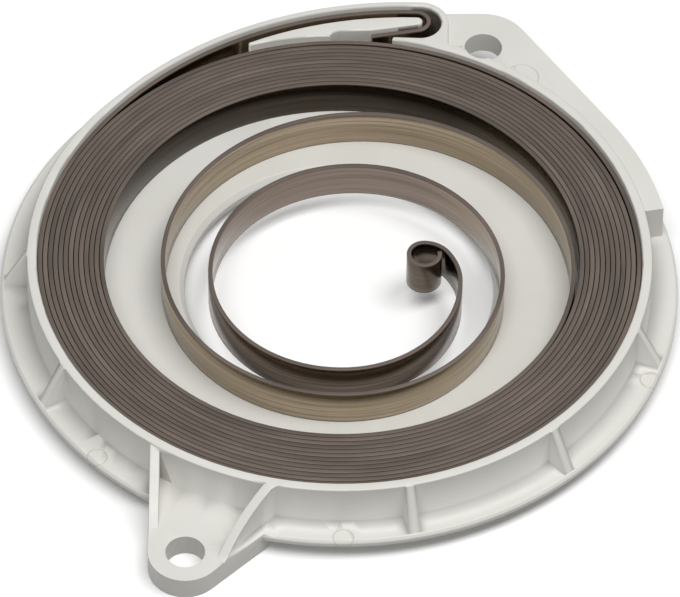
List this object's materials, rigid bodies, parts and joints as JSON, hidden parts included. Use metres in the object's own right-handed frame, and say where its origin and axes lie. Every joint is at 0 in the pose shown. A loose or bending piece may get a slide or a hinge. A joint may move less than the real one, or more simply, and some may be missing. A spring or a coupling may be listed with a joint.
{
  "type": "recoil starter spring in its cassette",
  "caption": "Recoil starter spring of dark strip steel, wound in a pale moulded cassette with two screw lugs.",
  "frame": {"origin": "centre of the hub opening, at the underside of the floor", "axes": "+Z along the hub opening's axis, out of the open side of the cassette; +Y towards the hook pocket"},
  "size_m": [0.0854, 0.0935, 0.0088],
  "materials": {
    "cassette_plastic": "satin moulded",
    "spring_steel": "dark oiled strip"
  },
  "bodies": {
    "root": {"spring_cassette": "cassette_plastic", "recoil_spring": "spring_steel"}
  },
  "joints": []
}
